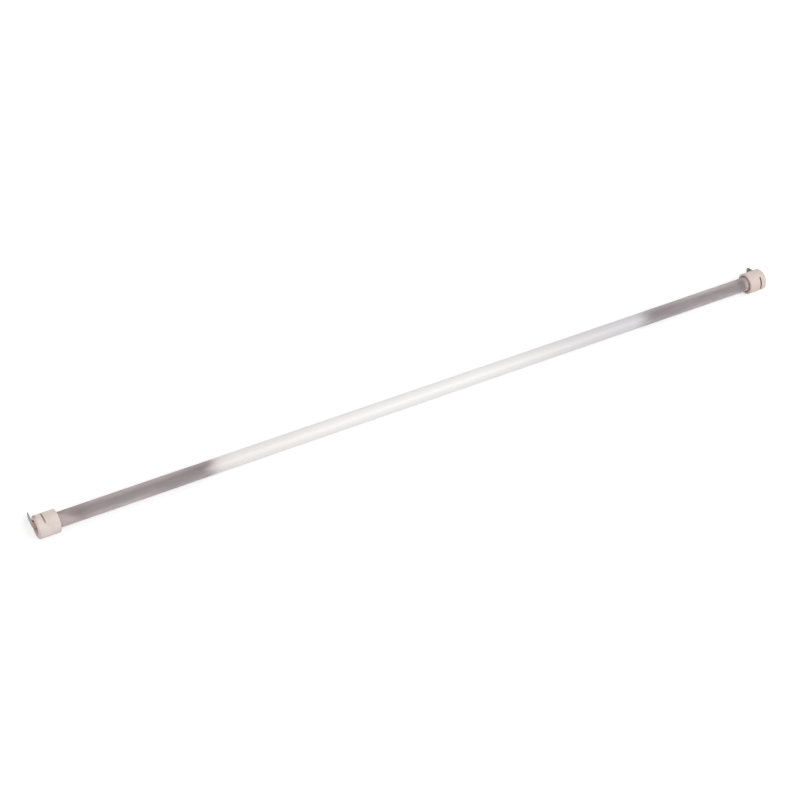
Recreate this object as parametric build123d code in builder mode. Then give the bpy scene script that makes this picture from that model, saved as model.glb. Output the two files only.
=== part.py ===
"""Double-ended quartz infrared heating lamp, lying as it comes to rest on a level surface.

X runs along the tube from the left end to the right end, Z is up, and the origin is on the tube's
axis at the lamp's middle. Angles round the axis are in degrees behind vertical, from +Z towards +Y.
Both caps and both blades' tips meet the surface, so the lamp doesn't roll.
"""

import os
from math import cos, radians, sin, sqrt, tan

from build123d import *

# Whole lamp, over the outer faces of the two end caps
lamp_length = 550.0

# Quartz tube
tube_diameter = 10.0
tube_wall = 1.0
tube_end_bevel = 0.3

# Ceramic end caps, alike but each turned its own way
cap_diameter = 15.0
cap_length = 14.0
cap_outer_bevel = 0.7
cap_inner_bevel = 0.4
bore_depth = 7.0
bore_clearance = 0.25
mouth_diameter = 12.6
mouth_depth = 2.0
left_cap_angle = 17.6
right_cap_angle = 120.6

# Round recess in each cap's outer face, and the pair of bracket slots across its sides
recess_diameter = 10.0
recess_depth = 2.0
slot_distance = 5.0
slot_width = 1.2
slot_depth = 2.0

# Contact blades, cranked out of the recesses, over the caps' rims and slightly back towards the middle
blade_width = 4.8
blade_thickness = 0.5
blade_reach = 14.6
blade_tip_chamfer = 0.9
blade_angle = 112.7
blade_droop = 6.4
crank_run = 1.5
crank_wall_clearance = 0.4
rim_clearance = 0.05
bend_radius = 0.8

# Heating coil: the outside of its close turns
coil_diameter = 7.0
coil_wire = 0.7
coil_length = 331.0
coil_shift = 8.0

# Lead pins that carry the coil and are riveted over the blades
pin_diameter = 4.6
pin_shoulder_chamfer = 0.5
shank_diameter = 1.8
shank_hole_clearance = 0.2
rivet_hole_clearance = 0.1
rivet_head_diameter = 3.4
rivet_head_height = 0.8
rivet_head_edge = 0.25
coil_plug_length = 10.0
coil_plug_clearance = 0.05
coil_plug_chamfer = 0.5
left_pin_gap = 13.5
right_pin_gap = 6.0

# Sizes that follow from those above
cap_radius = cap_diameter / 2
mouth_radius = mouth_diameter / 2
bore_radius = tube_diameter / 2 + bore_clearance
cap_web = cap_length - bore_depth
tube_length = lamp_length - 2 * cap_web
recess_radius = recess_diameter / 2
blade_floor = -recess_depth
blade_top = blade_floor + blade_thickness
coil_bore_radius = coil_diameter / 2 - coil_wire
shank_radius = shank_diameter / 2


def end_plane(outward, angle=0.0):
    """Outer end face of the lamp, with z pointing outwards and x along a direction round the axis."""
    across = (0, sin(radians(angle)), cos(radians(angle)))
    return Plane(origin=(outward * lamp_length / 2, 0, 0), x_dir=across, z_dir=(outward, 0, 0))


def side_plane(face):
    """Plane through the lamp's axis, with x along the end face's x and y pointing outwards."""
    return Plane(origin=face.origin, x_dir=face.x_dir, z_dir=-face.y_dir)


def make_quartz_tube():
    """Plain drawn tube with bevelled ends, seated on the floors of both caps' bores."""
    with BuildPart() as tube:
        with BuildSketch(Plane.YZ.offset(-tube_length / 2)):
            Circle(tube_diameter / 2)
            Circle(tube_diameter / 2 - tube_wall, mode=Mode.SUBTRACT)
        extrude(amount=tube_length)
        chamfer(tube.edges().filter_by(GeomType.CIRCLE), tube_end_bevel)
    return tube.part


def make_heating_coil():
    """The close-wound heating coil as one sleeve of its outer and inner diameters."""
    with BuildPart() as coil:
        with BuildSketch(Plane.YZ.offset(coil_shift - coil_length / 2)):
            Circle(coil_diameter / 2)
            Circle(coil_bore_radius, mode=Mode.SUBTRACT)
        extrude(amount=coil_length)
    return coil.part


def make_end_cap(outward, angle):
    """Round ceramic cap: a stepped bore for the tube, a recess in its end and two opposite slots."""
    face = end_plane(outward, angle)
    with BuildPart() as cap:
        with BuildSketch(side_plane(face)) as section:
            with BuildLine():
                Polyline(
                    (0, 0),
                    (cap_radius, 0),
                    (cap_radius, -cap_length),
                    (mouth_radius, -cap_length),
                    (mouth_radius, mouth_depth - cap_length),
                    (bore_radius, mouth_depth - cap_length),
                    (bore_radius, -cap_web),
                    (0, -cap_web),
                    close=True,
                )
            make_face()
            chamfer(section.vertices().group_by(Axis.X)[-1].sort_by(Axis.Y)[-1], cap_outer_bevel)
            chamfer(section.vertices().group_by(Axis.X)[-1].sort_by(Axis.Y)[0], cap_inner_bevel)
        revolve(axis=Axis(face.origin, face.z_dir))
        with Locations(face):
            CounterBoreHole(shank_radius + shank_hole_clearance, recess_radius, recess_depth)
        with BuildSketch(face.offset(slot_width / 2 - slot_distance)):
            with PolarLocations(cap_radius - slot_depth, 2):
                Rectangle(cap_radius, cap_diameter, align=(Align.MIN, Align.CENTER))
        extrude(amount=-slot_width, mode=Mode.SUBTRACT)
    return cap.part


def make_contact_blade(outward):
    """Stamped strip: round where it is riveted in the recess, cranked over the rim, chamfered at its tip."""
    face = end_plane(outward, blade_angle)
    half_width = blade_width / 2
    # The strip's corners leave the recess before its middle does
    crank_end = sqrt(recess_radius**2 - half_width**2) - crank_wall_clearance
    root = (-half_width, blade_floor)
    crank_foot = (crank_end - crank_run, blade_floor)
    crank_head = (crank_end, rim_clearance)
    rim = (cap_radius, rim_clearance)
    tip = (blade_reach, rim_clearance - (blade_reach - cap_radius) * tan(radians(blade_droop)))
    with BuildPart() as blade:
        with BuildSketch(side_plane(face)):
            with BuildLine():
                FilletPolyline(root, crank_foot, crank_head, rim, tip, radius=bend_radius)
                offset(amount=blade_thickness, side=Side.LEFT)
            make_face()
        extrude(amount=half_width, both=True)
        with BuildSketch(face) as outline:
            Rectangle(blade_reach, blade_width, align=(Align.MIN, Align.CENTER))
            chamfer(outline.vertices().group_by(Axis.X)[-1], blade_tip_chamfer)
            Circle(half_width)
        extrude(amount=cap_length, both=True, mode=Mode.INTERSECT)
        with Locations(face):
            Hole(shank_radius + rivet_hole_clearance)
    return blade.part


def make_lead_pin(outward, gap):
    """Turned pin: a plug in the coil's end, a body, and a thin shank riveted over the blade."""
    face = end_plane(outward)
    shoulder = -cap_length - gap
    coil_end = outward * coil_shift + coil_length / 2 - lamp_length / 2
    plug_radius = coil_bore_radius - coil_plug_clearance
    head_radius = rivet_head_diameter / 2
    head_edge = blade_top + rivet_head_edge
    head_top = blade_top + rivet_head_height
    with BuildPart() as pin:
        with BuildSketch(side_plane(face)):
            with BuildLine():
                Polyline(
                    (head_radius, head_edge),
                    (head_radius, blade_top),
                    (shank_radius, blade_top),
                    (shank_radius, shoulder),
                    (pin_diameter / 2 - pin_shoulder_chamfer, shoulder),
                    (pin_diameter / 2, shoulder - pin_shoulder_chamfer),
                    (pin_diameter / 2, coil_end),
                    (plug_radius, coil_end),
                    (plug_radius, coil_end - coil_plug_length + coil_plug_chamfer),
                    (plug_radius - coil_plug_chamfer, coil_end - coil_plug_length),
                    (0, coil_end - coil_plug_length),
                    (0, head_top),
                )
                TangentArc((0, head_top), (head_radius, head_edge), tangent=(1, 0))
            make_face()
        revolve(axis=Axis(face.origin, face.z_dir))
    return pin.part


def write(name, part):
    """Label one finished piece and write it to its own file."""
    part.label = name
    export_step(part, f"parts/{name}.step")


os.makedirs("parts", exist_ok=True)

write("quartz_tube", make_quartz_tube())
write("heating_coil", make_heating_coil())

write("left_end_cap", make_end_cap(-1, left_cap_angle))
write("left_contact_blade", make_contact_blade(-1))
write("left_lead_pin", make_lead_pin(-1, left_pin_gap))

write("right_end_cap", make_end_cap(1, right_cap_angle))
write("right_contact_blade", make_contact_blade(1))
write("right_lead_pin", make_lead_pin(1, right_pin_gap))
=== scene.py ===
"""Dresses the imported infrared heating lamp: satin quartz tube, wound coil, ceramic caps, plated blades.

X runs along the tube, Z is up and lengths are in metres, as in the solids. Angles round the axis are in
degrees behind vertical, from +Z towards +Y.
"""

from math import cos, radians, sin

import bmesh
import bpy
import numpy as np
from bpy.props import FloatProperty, FloatVectorProperty, IntProperty, PointerProperty
from bpy.types import Operator, Panel, PropertyGroup
from mathutils import Matrix, Vector


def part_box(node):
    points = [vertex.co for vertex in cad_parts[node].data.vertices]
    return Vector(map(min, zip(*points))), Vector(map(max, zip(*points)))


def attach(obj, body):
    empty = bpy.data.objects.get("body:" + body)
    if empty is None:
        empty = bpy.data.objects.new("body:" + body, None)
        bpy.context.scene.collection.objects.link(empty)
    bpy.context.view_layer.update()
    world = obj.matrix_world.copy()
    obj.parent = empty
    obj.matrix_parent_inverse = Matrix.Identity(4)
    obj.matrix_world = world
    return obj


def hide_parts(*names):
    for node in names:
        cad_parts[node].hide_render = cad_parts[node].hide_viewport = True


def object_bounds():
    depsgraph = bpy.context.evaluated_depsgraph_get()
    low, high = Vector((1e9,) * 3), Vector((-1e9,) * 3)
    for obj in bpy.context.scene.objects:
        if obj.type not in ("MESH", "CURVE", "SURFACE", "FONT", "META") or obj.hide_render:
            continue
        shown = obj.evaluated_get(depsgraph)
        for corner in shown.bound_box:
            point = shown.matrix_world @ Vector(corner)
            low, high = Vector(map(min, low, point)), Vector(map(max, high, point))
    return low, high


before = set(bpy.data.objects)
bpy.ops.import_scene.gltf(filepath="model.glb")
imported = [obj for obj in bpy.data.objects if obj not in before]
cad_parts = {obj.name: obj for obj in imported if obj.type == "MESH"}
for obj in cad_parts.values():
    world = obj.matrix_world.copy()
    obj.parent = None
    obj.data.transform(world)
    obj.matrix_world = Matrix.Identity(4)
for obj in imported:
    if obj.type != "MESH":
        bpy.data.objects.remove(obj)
solid_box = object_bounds()
tube_low, tube_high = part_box("quartz_tube")
coil_low, coil_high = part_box("heating_coil")
cap_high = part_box("right_end_cap")[1]

bl_info = {
    "name": "Infrared Heating Lamp",
    "version": (1, 0, 0),
    "blender": (4, 5, 0),
    "location": "3D View > Sidebar > Heating Lamp",
    "description": "Dresses a double-ended quartz heating lamp and sets its studio",
    "category": "Object",
}


def way_round(degrees):
    """Direction away from the lamp's axis, at an angle behind vertical."""
    return (0.0, sin(radians(degrees)), cos(radians(degrees)))


# Points of a solid that are closer than this are one, and its edges that are sharper stay hard
MERGE_DISTANCE = 2e-6
SOLID_EDGE_DEGREES = 32
TUBE_EDGE_DEGREES = 30

# The way that both blades point, the way across them, and the side of the left cap's rim that is given a
# brown painted shade
BLADE_WAY = way_round(112.7)
BLADE_ACROSS = way_round(22.7)
RIM_BROWN_SHADE_WAY = way_round(50.0)

# The tube's upper back: its grey is painted darker there as shade, and the white middle's ends lie farther
# right
UPPER_WAY = way_round(61.3)

# The middle of a noise's values, and the limits within which most of them and the commonest of them lie
NOISE_MIDDLE = 0.5
MOST = (0.25, 0.75)
COMMONEST = (0.3, 0.7)

# Slow waves that drawing leaves along the tube: turns in radians for each metre, and the short wave's share
LONG_WAVE = 21.0
SHORT_WAVE = 57.0
SHORT_WAVE_SHARE = 0.6
SHORT_WAVE_START = 1.3

# Noises of the tube, in features for each metre along X, Y and Z
STREAKS = (7.0, 620.0, 620.0)
CLOUDS = (90.0, 260.0, 260.0)
CLOUDS_SHIFT = (0.0, 3.0, 1.0)
MOTTLE = (40.0, 190.0, 190.0)

# Stretches of the tube along X, from the rim that each belongs to
LEFT_CLEARING = (0.045, 0.070)
RIGHT_CLEARING = (-0.050, -0.025)
LEFT_RING = (0.004, 0.014)
RIGHT_RING = (-0.007, -0.003)
LEFT_RIM = (-0.004, 0.004)
RIGHT_RIM = (-0.0020, 0.0025)

# How much paler the cold ends are before and after each clearing
LEFT_PALER = (0.07, -0.05)
RIGHT_PALER = (0.02, 0.12)

# How far the white's right end fades to the left and to the right, in halves of the fade
RIGHT_FADE = (1.3, 1.5)

# How far the left rim's edge leans for each metre towards the upper back, and the side that way where painted
# shade darkens the grey
LEFT_RIM_SLANT = 1.6
SHADED_BACK = (-0.0005, 0.0045)

# Stretches of the caps along X, from their outer faces
MOUTH_FLOOR = (-0.0119, -0.0117)
RECESS_FLOOR = (-0.0023, -0.0021)
RECESS_WALL = (-0.0019, 0.0)
CROSSED_RIM = (-0.0022, -0.0002)
LEFT_RIM_BROWN_SHADE = (0.0003, 0.0026)

# Stretches of the caps away from the axis
MOUTH_LIP = (0.0064, 0.0066)
RECESS_LIP = (0.00502, 0.00530)
SLOT_OPENING = (0.0069, 0.0074)

# Stretches of the caps' painted shade: away from a slot's middle, towards the blade, across it, towards the
# brown
SLOT_SHADE_WIDTH = (0.0007, 0.0009)
RECESS_SHADE_REACH = (0.0005, 0.0040)
BLADE_CROSSING_SHADE_WIDTH = (0.0022, 0.0040)
RIM_BROWN_SHADE_REACH = (0.0056, 0.0074)

# Stretches of the blades away from the axis
ROOT_TINT = (0.0044, 0.0064)
TIP_SHADE = (0.0085, 0.0115)

# Rolling scratches of the blades along and across them, and turning rings of the pins, for each metre
SCRATCHES_ALONG = 160.0
SCRATCHES_ACROSS = 4200.0
TURNING_RINGS = 5200.0

# How dark the dull spots of wire and blades are, and how light the bright rings of the pins
DULL_WIRE = 0.8
DULL_BLADE = 0.7
BRIGHT_PIN = 1.5


def colour_property(name, description, default):
    """A linear colour that a user may change."""
    return FloatVectorProperty(
        name=name, description=description, subtype="COLOR", size=3, min=0.0, max=1.0, default=default
    )


def length_property(name, description, default):
    """A length in metres that a user may change."""
    return FloatProperty(
        name=name, description=description, subtype="DISTANCE", unit="LENGTH", precision=5, default=default
    )


def share_property(name, description, default):
    """A share from 0 to 1 that a user may change."""
    return FloatProperty(
        name=name, description=description, subtype="FACTOR", min=0.0, max=1.0, default=default
    )


def angle_property(name, description, degrees):
    """An angle that a user may change, given in degrees."""
    return FloatProperty(name=name, description=description, subtype="ANGLE", default=radians(degrees))


def count_property(name, description, default, least):
    """A whole number that a user may change."""
    return IntProperty(name=name, description=description, default=default, min=least)


class QuartzTubeSettings(PropertyGroup):
    """Sizes, colours and shares of the drawn quartz tube."""

    wall: length_property("Wall", "Thickness of the tube's wall", 0.001)
    end_bevel: length_property("End bevel", "Bevel on the tube's ends", 0.0003)
    unevenness: length_property("Unevenness", "Half the height of the long waves outside", 0.000008)
    rows: count_property("Rows", "Rings of points along the tube", 180, 2)
    columns: count_property("Columns", "Points round the tube", 96, 8)

    heated_start: length_property("Heated start", "Where the white middle begins along X", -0.1602)
    heated_end: length_property("Heated end", "Where the white middle ends along X", 0.1695)
    fade: length_property("Fade", "Length over which grey turns to white", 0.018)
    wander: share_property("Wander", "How far the fade wanders, as a share of its length", 0.45)
    slant: share_property("Slant", "How far the white's ends lean for each metre across", 0.2)
    heated_colour: colour_property("Heated colour", "Milky white of the heated middle", (0.955, 0.935, 0.92))
    heated_far: colour_property("Heated far colour", "Cooler white near the right end", (0.70, 0.675, 0.695))
    far_start: length_property("Far start", "Where the white begins to turn cooler along X", 0.02)
    heated_near: colour_property("Heated near colour", "Warmer white near the left end", (0.91, 0.875, 0.85))
    near_length: length_property("Near length", "Length over which the warmer white ends", 0.12)
    streak_share: share_property("Streaks", "How strongly drawn streaks tint the white", 0.18)
    blush_colour: colour_property("Blush colour", "Pinkish start of the white middle", (0.78, 0.70, 0.69))
    blush_length: length_property("Blush length", "Length of the pinkish start", 0.020)
    blush_share: share_property("Blush", "How strongly the start is pink", 0.7)

    cold_colour: colour_property("Cold colour", "Grey of the cold ends", (0.685, 0.625, 0.645))
    cold_light: colour_property("Cold light colour", "Lighter cloud in the cold ends", (0.83, 0.77, 0.78))
    drift: length_property("Drift", "How far clouds move the rings and the left rim", 0.006)
    left_rim: length_property("Left rim", "Where the pale rim by the left cap begins along X", -0.2530)
    right_rim: length_property("Right rim", "Where the pale rim by the right cap begins along X", 0.2580)
    # The rim colour is partly the paler glass beyond each pin and partly painted light: it lightens the tube
    # where it enters the caps' mouths, which lie in shade.
    rim_colour: colour_property("Rim colour", "Pale pinkish rims by the caps", (0.82, 0.72, 0.70))
    left_rim_share: share_property("Left rim share", "How strongly the left rim shows", 0.55)
    right_rim_share: share_property("Right rim share", "How strongly the right rim shows", 0.8)
    ring_colour: colour_property("Ring colour", "Brownish ring where each pin begins", (0.485, 0.362, 0.362))
    left_ring_share: share_property("Left ring share", "How strongly the left ring shows", 0.36)
    right_ring_share: share_property("Right ring share", "How strongly the right ring shows", 0.42)
    # These two paint shade: they darken the upper back of the left cold end.
    back_shade_length: length_property("Smoke length", "Length over which the smoked side ends", 0.03)
    back_shade_share: share_property("Smoke", "How strongly the left end's back is smoked", 0.30)
    grain_share: share_property("Grain", "How strongly the fine grain shows", 0.05)

    cold_clearness: share_property("Cold clearness", "Light that passes through the cold ends", 0.82)
    heated_clearness: share_property("Heated clearness", "Light that passes through the white", 0.04)
    rim_clearness: share_property("Rim clearness", "What the rims leave of that light", 0.35)
    cold_roughness: share_property("Cold roughness", "Satin of the cold ends", 0.42)
    heated_roughness: share_property("Heated roughness", "Satin of the white", 0.25)
    streak_roughness: share_property("Streak roughness", "Satin that the streaks add", 0.13)


class HeatingCoilSettings(PropertyGroup):
    """Sizes and colour of the wound resistance wire."""

    wire: length_property("Wire", "Diameter of the wire", 0.0007)
    pitch: length_property("Pitch", "Distance from one turn to the next", 0.00096)
    slip: share_property("Slip", "How far the turns slip, as a share of the coil's length", 0.00025)
    slips: count_property("Slips", "How often the turns crowd and spread along the coil", 7, 0)
    steps: count_property("Steps", "Rings of points in each turn", 24, 8)
    sides: count_property("Sides", "Points round the wire", 8, 5)
    colour: colour_property("Colour", "Bright drawn wire", (0.78, 0.76, 0.73))


class CeramicCapSettings(PropertyGroup):
    """Sizes, colours and shares of the unglazed ceramic caps."""

    edge: length_property("Edge", "Radius of the worn edges", 0.0002)
    slot_distance: length_property("Slot distance", "From the outer face to the slots' middle", 0.005)
    colour: colour_property("Colour", "Pinkish beige body of the ceramic", (0.78, 0.68, 0.635))
    shade: colour_property("Shade", "Darker cloud in the ceramic", (0.715, 0.615, 0.57))
    speck: colour_property("Speck", "Small dark grains in the ceramic", (0.46, 0.38, 0.33))
    speck_share: share_property("Specks", "How strongly the grains show", 0.65)
    # The right cap shade is painted shade: it makes the right cap darker and pinker than the left.
    right_cap_shade: colour_property("Fired", "Pinker firing of the right cap", (0.66, 0.50, 0.455))
    right_cap_shade_share: share_property("Firing", "How strongly the right cap is pinker", 0.35)
    # The mouth colour is painted light: a paler ceramic inside the caps' mouths that lightens the shade
    # there.
    mouth_painted_light: colour_property("Mouth", "Cleaner ceramic inside the mouth", (0.93, 0.86, 0.82))
    # The slot shade colour is painted shade: it darkens the right cap's slots.
    slot_shade: colour_property("Soil", "Dirt in the right cap's slots", (0.20, 0.165, 0.12))
    slot_shade_share: share_property("Soiling", "How strongly the slots are soiled", 0.8)
    # The recess shade settings paint shade: a reddish darkening in each cap's recess beside and under the
    # blade, weaker at the rim.
    recess_shade: colour_property("Stain", "Heat stain in the recess, on the blade's side", (0.62, 0.33, 0.29))
    recess_shade_share: share_property("Staining", "How strongly the blade's side is stained", 0.9)
    recess_shade_rim: share_property("Stain at the rim", "What is left of the stain at the rim", 0.4)
    # The blade crossing shade is painted shade: a greyish darkening of the rim under each blade where it
    # crosses.
    blade_crossing_shade: colour_property("Scorch", "Greyish heat mark where the blade crosses the rim", (0.42, 0.34, 0.29))
    blade_crossing_shade_share: share_property("Scorching", "How strongly the rim is scorched", 0.5)
    # The rim brown shade is painted shade: a brown darkening on the left cap's rim beside the blade.
    rim_brown_shade: colour_property("Smudge", "Brown mark on the left rim beside the blade", (0.46, 0.30, 0.25))
    rim_brown_shade_share: share_property("Smudging", "How strongly the left rim is browned", 0.8)


class MetalSettings(PropertyGroup):
    """Sizes, colours and shares of the contact blades and the lead pins."""

    blade: colour_property("Blade", "Nickel plating of the blades", (0.35, 0.335, 0.305))
    # The blade root colour makes the blades reddish near the rivet.
    blade_root: colour_property("Blade root", "Heat tint near the rivet", (0.36, 0.225, 0.20))
    # The blade tip shade is painted shade: it darkens the blades towards their tips.
    blade_tip_shade: colour_property("Blade tip", "Dulled plating of the tip", (0.19, 0.18, 0.165))
    blade_edge: length_property("Blade edge", "Radius of the blades' stamped edges", 0.00006)
    tint_drift: length_property("Tint drift", "How far blotches move the heat tint's edge", 0.002)
    scratch_share: share_property("Scratches", "How strongly rolling scratches show", 0.45)
    pin: colour_property("Pin", "Dull turned steel of the pins", (0.13, 0.12, 0.12))


class StageSettings(PropertyGroup):
    """Floor, light and camera."""

    floor_size: length_property("Floor size", "Side of the square floor", 12.0)
    floor_colour: colour_property("Floor colour", "Plain pale floor", (0.66, 0.66, 0.66))
    floor_lift: share_property("Floor lift", "White added to the floor where it is seen", 0.515)
    fill: FloatProperty(
        name="Fill", description="Strength of the even light all round", default=0.74, min=0.0
    )
    key_power: FloatProperty(
        name="Key power", description="Power of the softbox", subtype="POWER", unit="POWER", default=32.0
    )
    key_size: length_property("Key size", "Side of the square softbox", 2.2)
    key_distance: length_property("Key distance", "From the lamp's middle to the softbox", 3.0)
    key_azimuth: angle_property("Key azimuth", "Direction that the softbox shines in, from above", 35.5)
    key_elevation: angle_property("Key elevation", "Height angle of the softbox", 47.5)
    aim: FloatVectorProperty(
        name="Aim",
        description="Point that the camera looks at",
        subtype="XYZ",
        unit="LENGTH",
        default=(-0.0220, 0.0018, 0.0),
    )
    distance: length_property("Distance", "From the aim to the camera", 1.21096)
    azimuth: angle_property("Azimuth", "Direction that the camera looks in, from above", -42.153)
    elevation: angle_property("Elevation", "Height angle of the camera", 53.638)
    roll: angle_property("Roll", "Turn of the camera about its line of sight", 17.153)
    lens: FloatProperty(name="Lens", description="Focal length", subtype="DISTANCE_CAMERA", default=83.25)


class HeatingLampSettings(PropertyGroup):
    """Every setting of the lamp and its studio."""

    tube: PointerProperty(type=QuartzTubeSettings)
    coil: PointerProperty(type=HeatingCoilSettings)
    ceramic: PointerProperty(type=CeramicCapSettings)
    metal: PointerProperty(type=MetalSettings)
    stage: PointerProperty(type=StageSettings)


def linked_object(name, mesh):
    """A smooth object of a mesh, at the origin of the scene."""
    mesh.polygons.foreach_set("use_smooth", np.ones(len(mesh.polygons), dtype=bool))
    item = bpy.data.objects.new(name, mesh)
    bpy.context.scene.collection.objects.link(item)
    return item


def mesh_object(name, points, blocks):
    """A smooth object from an array of points and blocks of faces with as many corners each."""
    mesh = bpy.data.meshes.new(name)
    mesh.from_pydata(points, [], [face for block in blocks for face in block.tolist()])
    mesh.update()
    return linked_object(name, mesh)


def ring_quads(rows, columns, closed_rows):
    """Quads of a grid whose columns close into rings, and whose rows may close into a loop as well."""
    row = np.arange(rows if closed_rows else rows - 1)[:, None]
    column = np.arange(columns)[None, :]
    after_row = (row + 1) % rows
    after_column = (column + 1) % columns
    corners = [row * columns + column, row * columns + after_column]
    corners += [after_row * columns + after_column, after_row * columns + column]
    return np.stack(np.broadcast_arrays(*corners), -1).reshape(-1, 4)


def hard_edges(item, degrees):
    """Smooth shading that stops at edges sharper than an angle."""
    item.data.set_sharp_from_angle(angle=radians(degrees))


def merged_copy(node, name):
    """A solid's own surface as one joined mesh, smooth except at its hard edges."""
    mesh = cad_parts[node].data.copy()
    mesh.name = name
    mesh.materials.clear()
    work = bmesh.new()
    work.from_mesh(mesh)
    bmesh.ops.remove_doubles(work, verts=work.verts, dist=MERGE_DISTANCE)
    work.to_mesh(mesh)
    work.free()
    if mesh.has_custom_normals:
        mesh.attributes.remove(mesh.attributes["custom_normal"])
    item = linked_object(name, mesh)
    hard_edges(item, SOLID_EDGE_DEGREES)
    return item


def dress(item, node, material):
    """Puts a finished piece in a solid's place, on the lamp's one body."""
    item.data.materials.append(material)
    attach(item, "root")
    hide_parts(node)


def dress_both(part, piece, material):
    """Dresses the left and the right solid of a pair, each as a merged copy of itself."""
    for side in ("left", "right"):
        node = f"{side}_{part}"
        dress(merged_copy(node, f"{side}_{piece}"), node, material)


class Finish:
    """A material's nodes, added one at a time in front of its one shader."""

    def __init__(self, name):
        self.material = bpy.data.materials.new(name)
        self.material.use_nodes = True
        self.nodes = self.material.node_tree.nodes
        self.links = self.material.node_tree.links
        self.shader = self.nodes["Principled BSDF"]

    def put(self, socket, value):
        """Sets a socket to a value, or links it to another socket."""
        if isinstance(value, bpy.types.NodeSocket):
            self.links.new(value, socket)
        else:
            socket.default_value = value

    def add(self, kind, inputs=None, **settings):
        """One node with its settings and inputs."""
        made = self.nodes.new("ShaderNode" + kind)
        for key, value in settings.items():
            setattr(made, key, value)
        for key, value in (inputs or {}).items():
            self.put(made.inputs[key], value)
        return made

    def place(self, scale=(1.0, 1.0, 1.0), shift=(0.0, 0.0, 0.0)):
        """Object coordinates stretched by a scale along each axis, then shifted."""
        where = self.add("TexCoord").outputs["Object"]
        return self.add("Mapping", {"Vector": where, "Scale": scale, "Location": shift}).outputs["Vector"]

    def along(self, where):
        """Distance along the lamp, from its middle."""
        return self.add("SeparateXYZ", {"Vector": where}).outputs["X"]

    def radius(self, where):
        """Distance from the lamp's axis."""
        flat = self.add("VectorMath", {0: where, 1: (0.0, 1.0, 1.0)}, operation="MULTIPLY").outputs["Vector"]
        return self.add("VectorMath", {0: flat}, operation="LENGTH").outputs["Value"]

    def towards(self, where, way):
        """How far a place is along a direction."""
        return self.add("VectorMath", {0: where, 1: way}, operation="DOT_PRODUCT").outputs["Value"]

    def noise(self, where, per_metre=1.0, detail=2.0, roughness=0.5):
        """Soft noise from 0 to 1, with a number of features for each metre."""
        inputs = {"Vector": where, "Scale": per_metre, "Detail": detail, "Roughness": roughness}
        return self.add("TexNoise", inputs).outputs["Fac"]

    def sums(self, operation, *values):
        """One step of arithmetic."""
        made = self.add("Math", operation=operation)
        for socket, value in zip(made.inputs, values):
            self.put(socket, value)
        return made.outputs["Value"]

    def plus(self, first, second):
        """The sum of two values."""
        return self.sums("ADD", first, second)

    def minus(self, first, second):
        """What is left of the first value without the second."""
        return self.sums("SUBTRACT", first, second)

    def times(self, first, *others):
        """The product of all the values."""
        product = first
        for other in others:
            product = self.sums("MULTIPLY", product, other)
        return product

    def unsigned(self, value):
        """A value without its sign."""
        return self.sums("ABSOLUTE", value)

    def ramp(self, value, low, high, to_low=0.0, to_high=1.0):
        """A value that goes smoothly from one number to another between two limits."""
        inputs = {"Value": value, "From Min": low, "From Max": high, "To Min": to_low, "To Max": to_high}
        return self.add("MapRange", inputs, interpolation_type="SMOOTHSTEP").outputs["Result"]

    def stretch(self, value, start, limits, to_low=0.0, to_high=1.0):
        """A ramp between two limits that are measured from a start."""
        return self.ramp(value, start + limits[0], start + limits[1], to_low, to_high)

    def blend(self, share, first, second):
        """A colour between two colours."""
        made = self.add("Mix", data_type="RGBA")
        self.put(made.inputs[0], share)
        for socket, colour in ((made.inputs[6], first), (made.inputs[7], second)):
            self.put(socket, colour if isinstance(colour, bpy.types.NodeSocket) else (*colour, 1.0))
        return made.outputs[2]

    def worn_edges(self, radius, samples):
        """A normal that rounds the edges off."""
        return self.add("Bevel", {"Radius": radius}, samples=samples).outputs["Normal"]

    def bump(self, height, strength, depth, normal=None):
        """A normal that follows a height, on top of another normal."""
        inputs = {"Height": height, "Strength": strength, "Distance": depth}
        if normal is not None:
            inputs["Normal"] = normal
        return self.add("Bump", inputs).outputs["Normal"]

    def shade(self, **inputs):
        """Sets the shader's own sockets, with underscores for the spaces in their names."""
        for key, value in inputs.items():
            self.put(self.shader.inputs[key.replace("_", " ")], value)
        return self.material


def toned(colour, share):
    """A colour made darker or lighter."""
    return tuple(share * part for part in colour)


def heated_share(finish, tube, edge):
    """1 over the white middle and 0 over the cold ends, by a place along the tube."""
    half = tube.fade / 2
    begun = finish.stretch(edge, tube.heated_start, (-half, half))
    ended = finish.stretch(edge, tube.heated_end, (-RIGHT_FADE[0] * half, RIGHT_FADE[1] * half), 1.0, 0.0)
    return finish.times(begun, ended)


def heated_white(finish, tube, along, edge, streaks):
    """Milky white: warmer at the left, cooler at the right, streaked lengthwise, pinkish at its start."""
    far = finish.ramp(along, tube.far_start, tube.heated_end)
    white = finish.blend(far, tube.heated_colour, tube.heated_far)
    near = finish.stretch(along, tube.heated_start, (0.0, tube.near_length), 1.0, 0.0)
    white = finish.blend(near, white, tube.heated_near)
    drawn = finish.ramp(streaks, *COMMONEST, to_high=tube.streak_share)
    white = finish.blend(drawn, white, tube.heated_far)
    blush = finish.stretch(edge, tube.heated_start, (0.0, tube.blush_length), tube.blush_share, 0.0)
    return finish.blend(blush, white, tube.blush_colour)


def rim_share(finish, tube, along, drift, upper):
    """Share of the pale rims by the two caps, partly the paler glass beyond each pin and partly painted light
    that lightens the shaded tube where it enters the caps. The left one's edge is slanted and wanders.
    """
    slanted = finish.plus(drift, finish.times(upper, LEFT_RIM_SLANT))
    left = finish.stretch(slanted, tube.left_rim, LEFT_RIM, tube.left_rim_share, 0.0)
    right = finish.stretch(along, tube.right_rim, RIGHT_RIM, 0.0, tube.right_rim_share)
    return finish.plus(left, right)


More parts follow.
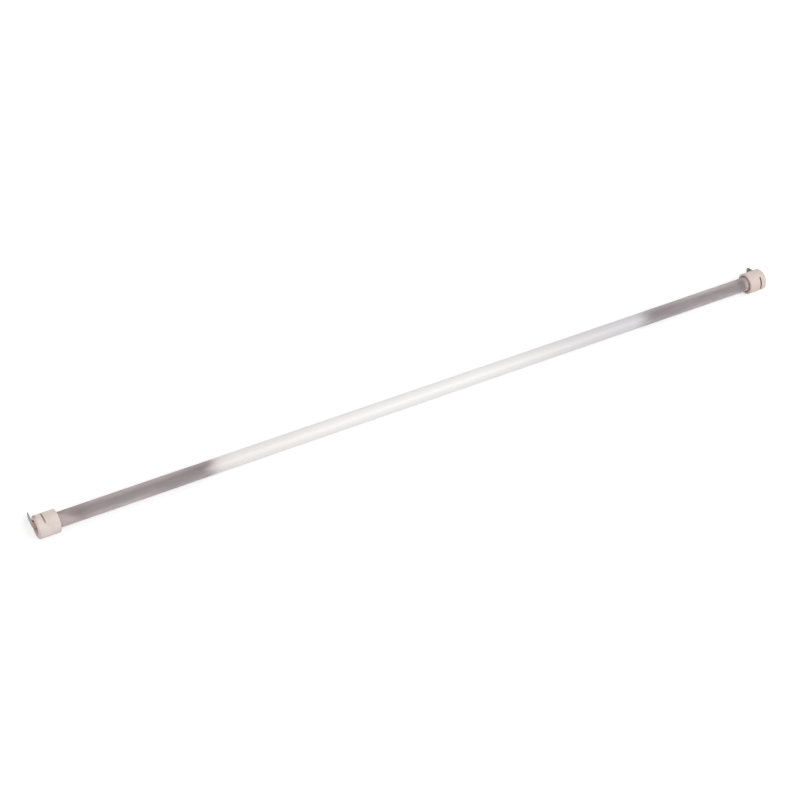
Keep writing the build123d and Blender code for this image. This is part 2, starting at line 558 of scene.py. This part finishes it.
def cold_grey(finish, tube, along, drift, upper):
    """Mottled grey: clearer beside the caps, with painted shade on the left end's back, and a ring at each
    pin.
    """
    mottle = finish.noise(finish.place(MOTTLE), detail=4.0, roughness=0.65)
    left_light = finish.stretch(along, tube.left_rim, LEFT_CLEARING, *LEFT_PALER)
    right_light = finish.stretch(along, tube.right_rim, RIGHT_CLEARING, *RIGHT_PALER)
    paler = finish.plus(mottle, finish.plus(left_light, right_light))
    grey = finish.blend(finish.ramp(paler, low=0.36, high=0.66), tube.cold_colour, tube.cold_light)
    # Painted shade: the upper back of the left cold end is darkened towards the ring colour.
    back = finish.ramp(upper, *SHADED_BACK, to_high=tube.back_shade_share)
    left_end = finish.stretch(along, tube.heated_start, (0.0, tube.back_shade_length), 1.0, 0.0)
    grey = finish.blend(finish.times(back, left_end), grey, tube.ring_colour)
    left_ring = finish.stretch(drift, tube.left_rim, LEFT_RING, tube.left_ring_share, 0.0)
    right_ring = finish.stretch(drift, tube.right_rim, RIGHT_RING, 0.0, tube.right_ring_share)
    return finish.blend(finish.plus(left_ring, right_ring), grey, tube.ring_colour)


def quartz_finish(tube):
    """Satin quartz: milky white over the coil, clouded grey at the cold ends, drawn streaks along it."""
    finish = Finish("satin_quartz")
    where = finish.place()
    along = finish.along(where)
    upper = finish.towards(where, UPPER_WAY)
    streaks = finish.noise(finish.place(STREAKS), detail=4.0, roughness=0.6)
    clouds = finish.noise(finish.place(CLOUDS, CLOUDS_SHIFT), detail=3.0, roughness=0.6)
    grain = finish.noise(where, per_metre=4200.0)

    uneven = finish.minus(finish.plus(clouds, streaks), 2 * NOISE_MIDDLE)
    wandering = finish.plus(along, finish.times(uneven, tube.wander * tube.fade))
    edge = finish.minus(wandering, finish.times(upper, tube.slant))
    drift = finish.plus(along, finish.times(finish.minus(clouds, NOISE_MIDDLE), tube.drift))
    heated = heated_share(finish, tube, edge)
    rims = rim_share(finish, tube, along, drift, upper)

    # Partly painted light: the pale rims lighten the shaded tube by the caps.
    grey = finish.blend(rims, cold_grey(finish, tube, along, drift, upper), tube.rim_colour)
    colour = finish.blend(heated, grey, heated_white(finish, tube, along, edge, streaks))
    colour = finish.blend(finish.ramp(grain, *COMMONEST, to_high=tube.grain_share), colour, tube.ring_colour)
    clear = finish.ramp(heated, 0.0, 1.0, tube.cold_clearness, tube.heated_clearness)
    clear = finish.times(clear, finish.ramp(rims, 0.0, 1.0, 1.0, tube.rim_clearness))
    satin = finish.ramp(heated, 0.0, 1.0, tube.cold_roughness, tube.heated_roughness)
    rough = finish.plus(satin, finish.ramp(streaks, *MOST, to_high=tube.streak_roughness))
    drawn = finish.bump(streaks, strength=0.32, depth=0.00006)
    return finish.shade(
        Base_Color=colour,
        Roughness=rough,
        Transmission_Weight=clear,
        Normal=finish.bump(grain, strength=0.12, depth=0.00002, normal=drawn),
        IOR=1.46,
    )


def wire_finish(coil):
    """Bright drawn resistance wire with a fine grain."""
    finish = Finish("drawn_wire")
    grain = finish.noise(finish.place(), per_metre=2600.0)
    return finish.shade(
        Base_Color=finish.blend(grain, coil.colour, toned(coil.colour, DULL_WIRE)),
        Metallic=1.0,
        Roughness=finish.ramp(grain, low=0.2, high=0.8, to_low=0.24, to_high=0.40),
    )


def ceramic_body(finish, ceramic, where, clouds):
    """The ceramic itself: soft clouds, dark grains here and there, painted shade that makes the right cap
    darker and pinker, and painted light that makes the mouths paler.
    """
    along = finish.along(where)
    radius = finish.radius(where)
    colour = finish.blend(finish.ramp(clouds, low=0.35, high=0.72), ceramic.colour, ceramic.shade)
    grains = finish.add("TexVoronoi", {"Vector": where, "Scale": 1500.0}).outputs["Distance"]
    thinned = finish.noise(where, per_metre=800.0, detail=1.0)
    specks = finish.ramp(grains, low=0.16, high=0.30, to_low=1.0, to_high=0.0)
    specks = finish.times(specks, finish.ramp(thinned, low=0.50, high=0.62), ceramic.speck_share)
    colour = finish.blend(specks, colour, ceramic.speck)
    # Painted shade: the right cap is made darker and pinker than the left.
    right_cap_shade = finish.ramp(along, coil_low.x, coil_high.x, 0.0, ceramic.right_cap_shade_share)
    colour = finish.blend(right_cap_shade, colour, ceramic.right_cap_shade)
    # Painted light: the ceramic inside each mouth is made paler to lighten its shade.
    mouth_painted_light = finish.stretch(finish.unsigned(along), cap_high.x, MOUTH_FLOOR, 1.0, 0.0)
    mouth_painted_light = finish.times(mouth_painted_light, finish.ramp(radius, *MOUTH_LIP, 1.0, 0.0))
    return finish.blend(mouth_painted_light, colour, ceramic.mouth_painted_light)


def ceramic_marks(finish, ceramic, where, colour):
    """Painted shade on the ceramic: darkened slots in the right cap, a reddish-dark recess beside each blade,
    a greyish-dark rim where each blade crosses it, and a brown patch on the left rim.
    """
    along = finish.along(where)
    outward = finish.unsigned(along)
    radius = finish.radius(where)
    # Painted shade: the right cap's slots are darkened.
    from_slot = finish.unsigned(finish.minus(along, cap_high.x - ceramic.slot_distance))
    slot_shading = finish.ramp(from_slot, *SLOT_SHADE_WIDTH, 1.0, 0.0)
    slot_shading = finish.times(slot_shading, finish.ramp(radius, *SLOT_OPENING, ceramic.slot_shade_share, 0.0))
    colour = finish.blend(slot_shading, colour, ceramic.slot_shade)

    # Painted shade: the recess beside the blade is darkened to a reddish brown, less towards its rim.
    beside = finish.ramp(finish.towards(where, BLADE_WAY), *RECESS_SHADE_REACH, to_high=ceramic.recess_shade_share)
    sunk = finish.stretch(outward, cap_high.x, RECESS_FLOOR)
    deep = finish.stretch(outward, cap_high.x, RECESS_WALL, 1.0, ceramic.recess_shade_rim)
    inside = finish.ramp(radius, *RECESS_LIP, 1.0, 0.0)
    colour = finish.blend(finish.times(sunk, deep, inside, beside), colour, ceramic.recess_shade)

    # Painted shade: the rim under the blade, by the outer face, is darkened to a greyish brown.
    across = finish.unsigned(finish.towards(where, BLADE_ACROSS))
    under = finish.times(finish.ramp(across, *BLADE_CROSSING_SHADE_WIDTH, 1.0, 0.0), beside)
    crossed = finish.stretch(outward, cap_high.x, CROSSED_RIM, 0.0, ceramic.blade_crossing_shade_share)
    colour = finish.blend(finish.times(under, crossed), colour, ceramic.blade_crossing_shade)

    # Painted shade: a brown patch on the left cap's rim beside the blade.
    near = finish.ramp(finish.towards(where, RIM_BROWN_SHADE_WAY), *RIM_BROWN_SHADE_REACH)
    brown_shaded = finish.stretch(along, -cap_high.x, LEFT_RIM_BROWN_SHADE, ceramic.rim_brown_shade_share, 0.0)
    return finish.blend(finish.times(near, brown_shaded), colour, ceramic.rim_brown_shade)


def ceramic_finish(ceramic):
    """Unglazed pressed ceramic with fine pores, worn edges and the marks of heat and use."""
    finish = Finish("unglazed_ceramic")
    where = finish.place()
    clouds = finish.noise(where, per_metre=190.0, detail=3.0, roughness=0.55)
    pores = finish.noise(where, per_metre=2400.0, detail=3.0, roughness=0.6)
    body = ceramic_body(finish, ceramic, where, clouds)
    worn = finish.worn_edges(ceramic.edge, samples=6)
    return finish.shade(
        Base_Color=ceramic_marks(finish, ceramic, where, body),
        Roughness=finish.ramp(clouds, *COMMONEST, to_low=0.62, to_high=0.78),
        Normal=finish.bump(pores, strength=0.30, depth=0.00005, normal=worn),
    )


def blade_finish(metal):
    """Nickel plating, rolled lengthwise, reddish round the rivet, and darkened at the tip as painted shade.
    """
    finish = Finish("nickel_plate")
    where = finish.place()
    blotches = finish.noise(where, per_metre=420.0, detail=3.0, roughness=0.6)
    out = finish.plus(finish.radius(where), finish.times(blotches, metal.tint_drift))
    # The blades are reddish near the rivet and plain nickel farther out.
    colour = finish.blend(finish.ramp(out, *ROOT_TINT), metal.blade_root, metal.blade)
    # Painted shade: the blades turn dark towards their tips.
    colour = finish.blend(finish.ramp(out, *TIP_SHADE), colour, metal.blade_tip_shade)
    lengthwise = finish.times(finish.towards(where, BLADE_WAY), SCRATCHES_ALONG)
    across = finish.times(finish.towards(where, BLADE_ACROSS), SCRATCHES_ACROSS)
    rolled = finish.add("CombineXYZ", {"X": lengthwise, "Y": across}).outputs["Vector"]
    scratches = finish.noise(rolled, detail=4.0, roughness=0.65)
    scratched = finish.ramp(scratches, low=0.40, high=0.70, to_high=metal.scratch_share)
    worn = finish.worn_edges(metal.blade_edge, samples=4)
    return finish.shade(
        Base_Color=finish.blend(scratched, colour, toned(metal.blade, DULL_BLADE)),
        Metallic=1.0,
        Roughness=finish.ramp(scratches, *MOST, to_low=0.26, to_high=0.46),
        Normal=finish.bump(scratches, strength=0.15, depth=0.00002, normal=worn),
    )


def pin_finish(metal):
    """Dull steel with the fine rings that turning leaves, brighter in blotches."""
    finish = Finish("turned_steel")
    where = finish.place()
    turned = finish.plus(finish.along(where), finish.radius(where))
    cut = {"W": turned, "Scale": TURNING_RINGS, "Detail": 2.0}
    rings = finish.add("TexNoise", cut, noise_dimensions="1D").outputs["Fac"]
    blotches = finish.noise(where, per_metre=700.0, detail=3.0, roughness=0.6)
    shine = finish.times(finish.ramp(rings, *COMMONEST), finish.ramp(blotches, *COMMONEST))
    return finish.shade(
        Base_Color=finish.blend(shine, metal.pin, toned(metal.pin, BRIGHT_PIN)),
        Metallic=1.0,
        Roughness=finish.ramp(rings, *MOST, to_low=0.34, to_high=0.52),
        Normal=finish.bump(rings, strength=0.20, depth=0.00002),
    )


class HEATING_LAMP_OT_quartz_tube(Operator):
    """Draws the quartz tube as a closed wall with bevelled ends"""

    bl_idname = "heating_lamp.quartz_tube"
    bl_label = "Quartz Tube"

    def wall_points(self, tube):
        """The tube's wall as a closed section turned about X.

        The section runs out along the outer radius and back along the inner one. Drawing leaves the
        outer radius a little uneven, by slow waves along the tube that turn with the angle, and never
        larger than the solid's.
        """
        outer = (tube_high.z - tube_low.z) / 2
        inner = outer - tube.wall
        bevel = tube.end_bevel
        turn = np.linspace(0, 2 * np.pi, tube.columns, endpoint=False)
        span = np.linspace(tube_low.x + bevel, tube_high.x - bevel, tube.rows)
        ends = np.array([tube_high.x, tube_high.x, tube_low.x, tube_low.x])
        x = np.concatenate([span, ends[:2], span[::-1], ends[2:]])[:, None]
        outside = np.full(tube.rows, outer)
        inside = np.full(tube.rows, inner)
        lip = np.array([outer - bevel, inner + bevel])
        radius = np.concatenate([outside, lip, inside, lip[::-1]])[:, None]
        waves = np.sin(LONG_WAVE * x + 2 * turn)
        waves = waves + SHORT_WAVE_SHARE * np.sin(SHORT_WAVE * x + SHORT_WAVE_START - 3 * turn)
        sunk = tube.unevenness * (waves + 1 + SHORT_WAVE_SHARE)
        radius = radius - sunk * (radius > inner + bevel)
        y = -radius * np.sin(turn)
        z = radius * np.cos(turn)
        return np.stack([np.broadcast_to(x, y.shape), y, z], -1)

    def execute(self, context):
        tube = context.scene.heating_lamp.tube
        points = self.wall_points(tube)
        rows, columns = points.shape[:2]
        item = mesh_object("drawn_tube", points.reshape(-1, 3), [ring_quads(rows, columns, True)])
        hard_edges(item, TUBE_EDGE_DEGREES)
        dress(item, "quartz_tube", quartz_finish(tube))
        return {"FINISHED"}


class HEATING_LAMP_OT_heating_coil(Operator):
    """Winds the heating coil turn by turn inside the tube"""

    bl_idname = "heating_lamp.heating_coil"
    bl_label = "Heating Coil"

    tip_rings = 2
    tip_start = 0.4

    def wire_points(self, coil):
        """A round wire carried along a helix about X, with its two ends rounded off.

        A point of the helix is at the winding radius, at an angle that grows evenly along X, but for the
        small slip of the turns. The wire's ring lies across the helix's direction there, and shrinks by a
        square root over the rings at each end.
        """
        wire = coil.wire / 2
        winding = (coil_high.z - coil_low.z) / 2 - wire
        run = coil_high.x - coil_low.x - 2 * wire
        turns = round(run / coil.pitch)
        step = np.linspace(0, 1, turns * coil.steps + 1)
        slip = coil.slip * np.sin(2 * np.pi * coil.slips * step) * np.sin(np.pi * step)
        angle = 2 * np.pi * turns * step
        x = coil_low.x + wire + run * (step + slip)
        rate = 2 * np.pi * turns * winding
        zero = np.zeros_like(angle)
        outward = np.stack([zero, np.sin(angle), np.cos(angle)], -1)
        forward = np.stack([zero + run, rate * np.cos(angle), -rate * np.sin(angle)], -1)
        side = np.cross(forward / np.hypot(rate, run), outward)
        middle = np.stack([x, winding * np.sin(angle), winding * np.cos(angle)], -1)
        ring = np.linspace(0, 2 * np.pi, coil.sides, endpoint=False)[None, :, None]
        spokes = np.cos(ring) * outward[:, None] + np.sin(ring) * side[:, None]
        from_end = np.minimum(np.arange(len(step)), np.arange(len(step))[::-1])
        size = wire * np.sqrt(np.clip((from_end + self.tip_start) / self.tip_rings, 0, 1))
        return middle[:, None] + size[:, None, None] * spokes, middle[[0, -1]]

    def execute(self, context):
        coil = context.scene.heating_lamp.coil
        points, tips = self.wire_points(coil)
        rows, columns = points.shape[:2]
        count = rows * columns
        column = np.arange(columns)
        after = (column + 1) % columns
        first = np.stack([np.full(columns, count), after, column], -1)
        last_row = count - columns
        last = np.stack([np.full(columns, count + 1), last_row + column, last_row + after], -1)
        faces = [ring_quads(rows, columns, False), first, last]
        item = mesh_object("wound_coil", np.concatenate([points.reshape(-1, 3), tips]), faces)
        dress(item, "heating_coil", wire_finish(coil))
        return {"FINISHED"}


class HEATING_LAMP_OT_end_caps(Operator):
    """Gives both end caps their unglazed ceramic"""

    bl_idname = "heating_lamp.end_caps"
    bl_label = "End Caps"

    def execute(self, context):
        material = ceramic_finish(context.scene.heating_lamp.ceramic)
        dress_both("end_cap", "ceramic_cap", material)
        return {"FINISHED"}


class HEATING_LAMP_OT_contact_blades(Operator):
    """Gives both contact blades their nickel plating"""

    bl_idname = "heating_lamp.contact_blades"
    bl_label = "Contact Blades"

    def execute(self, context):
        material = blade_finish(context.scene.heating_lamp.metal)
        dress_both("contact_blade", "plated_blade", material)
        return {"FINISHED"}


class HEATING_LAMP_OT_lead_pins(Operator):
    """Gives both lead pins their turned steel"""

    bl_idname = "heating_lamp.lead_pins"
    bl_label = "Lead Pins"

    def execute(self, context):
        material = pin_finish(context.scene.heating_lamp.metal)
        dress_both("lead_pin", "turned_pin", material)
        return {"FINISHED"}


def seen_rays(nodes, links):
    """A share that is 1 for what the camera sees, also in a mirror or through glass, and 0 for lighting."""
    path = nodes.new("ShaderNodeLightPath")
    share = path.outputs["Is Camera Ray"]
    for name in ("Is Glossy Ray", "Is Transmission Ray"):
        either = nodes.new("ShaderNodeMath")
        either.operation = "MAXIMUM"
        links.new(share, either.inputs[0])
        links.new(path.outputs[name], either.inputs[1])
        share = either.outputs["Value"]
    return share


def view_axes(azimuth, elevation, roll):
    """Right, up and back of someone who looks along an azimuth and down by an elevation."""
    level = Vector((sin(azimuth), -cos(azimuth), 0.0))
    back = cos(elevation) * level + Vector((0.0, 0.0, sin(elevation)))
    right = Vector((cos(azimuth), sin(azimuth), 0.0))
    turned = cos(roll) * right + sin(roll) * back.cross(right)
    return turned, back.cross(turned), back


def aimed(item, aim, distance, azimuth, elevation, roll=0.0):
    """Sets an object so that it looks at a point from a distance."""
    right, up, back = view_axes(azimuth, elevation, roll)
    turn = Matrix((right, up, back)).transposed().to_4x4()
    item.matrix_world = Matrix.Translation(Vector(aim) + distance * back) @ turn
    bpy.context.scene.collection.objects.link(item)


class HEATING_LAMP_OT_stage(Operator):
    """Sets the pale floor, the soft light and the camera"""

    bl_idname = "heating_lamp.stage"
    bl_label = "Stage"

    def floor(self, stage):
        """A square under the lamp, lifted to white where it is seen."""
        corners = np.array([(-1, -1, 0), (1, -1, 0), (1, 1, 0), (-1, 1, 0)]) * stage.floor_size / 2
        corners[:, 2] = solid_box[0][2]
        item = mesh_object("floor", corners, [np.array([[0, 1, 2, 3]])])
        finish = Finish("pale_floor")
        finish.nodes.remove(finish.shader)
        paint = finish.add("BsdfDiffuse", {"Color": (*stage.floor_colour, 1.0)}).outputs["BSDF"]
        lift = finish.times(seen_rays(finish.nodes, finish.links), stage.floor_lift)
        glow = finish.add("Emission", {"Strength": lift}).outputs["Emission"]
        both = finish.add("AddShader", {0: paint, 1: glow}).outputs["Shader"]
        finish.put(finish.nodes["Material Output"].inputs["Surface"], both)
        item.data.materials.append(finish.material)

    def light(self, stage):
        """Even light all round, white where it is seen, and one large softbox."""
        world = bpy.data.worlds.new("studio")
        world.use_nodes = True
        bpy.context.scene.world = world
        nodes, links = world.node_tree.nodes, world.node_tree.links
        strength = nodes.new("ShaderNodeMapRange")
        links.new(seen_rays(nodes, links), strength.inputs["Value"])
        strength.inputs["To Min"].default_value = stage.fill
        strength.inputs["To Max"].default_value = 1.0
        nodes["Background"].inputs["Color"].default_value = (1.0, 1.0, 1.0, 1.0)
        links.new(strength.outputs["Result"], nodes["Background"].inputs["Strength"])
        lamp = bpy.data.lights.new("softbox", "AREA")
        lamp.energy = stage.key_power
        lamp.size = stage.key_size
        item = bpy.data.objects.new("softbox", lamp)
        aimed(item, (0.0, 0.0, 0.0), stage.key_distance, stage.key_azimuth, stage.key_elevation)

    def camera(self, stage):
        """The camera at the photograph's viewing angle."""
        data = bpy.data.cameras.new("camera")
        data.sensor_fit = "HORIZONTAL"
        data.lens = stage.lens
        item = bpy.data.objects.new("camera", data)
        aimed(item, stage.aim, stage.distance, stage.azimuth, stage.elevation, stage.roll)
        bpy.context.scene.camera = item

    def execute(self, context):
        stage = context.scene.heating_lamp.stage
        self.floor(stage)
        self.light(stage)
        self.camera(stage)
        context.scene.view_settings.view_transform = "Standard"
        return {"FINISHED"}


OPERATORS = (
    HEATING_LAMP_OT_quartz_tube,
    HEATING_LAMP_OT_heating_coil,
    HEATING_LAMP_OT_end_caps,
    HEATING_LAMP_OT_contact_blades,
    HEATING_LAMP_OT_lead_pins,
    HEATING_LAMP_OT_stage,
)


class HEATING_LAMP_PT_pieces(Panel):
    """Lists the lamp's pieces and its stage"""

    bl_idname = "HEATING_LAMP_PT_pieces"
    bl_label = "Heating Lamp"
    bl_space_type = "VIEW_3D"
    bl_region_type = "UI"
    bl_category = "Heating Lamp"

    def draw(self, context):
        for operator in OPERATORS:
            self.layout.operator(operator.bl_idname)


CLASSES = (
    QuartzTubeSettings,
    HeatingCoilSettings,
    CeramicCapSettings,
    MetalSettings,
    StageSettings,
    HeatingLampSettings,
    *OPERATORS,
    HEATING_LAMP_PT_pieces,
)


def register():
    """Adds the classes and the settings."""
    for item in CLASSES:
        bpy.utils.register_class(item)
    bpy.types.Scene.heating_lamp = PointerProperty(type=HeatingLampSettings)


def unregister():
    """Takes the settings and the classes away again."""
    del bpy.types.Scene.heating_lamp
    for item in reversed(CLASSES):
        bpy.utils.unregister_class(item)


def main():
    """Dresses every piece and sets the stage."""
    register()
    bpy.ops.heating_lamp.quartz_tube()
    bpy.ops.heating_lamp.heating_coil()
    bpy.ops.heating_lamp.end_caps()
    bpy.ops.heating_lamp.contact_blades()
    bpy.ops.heating_lamp.lead_pins()
    bpy.ops.heating_lamp.stage()


if __name__ == "__main__":
    main()
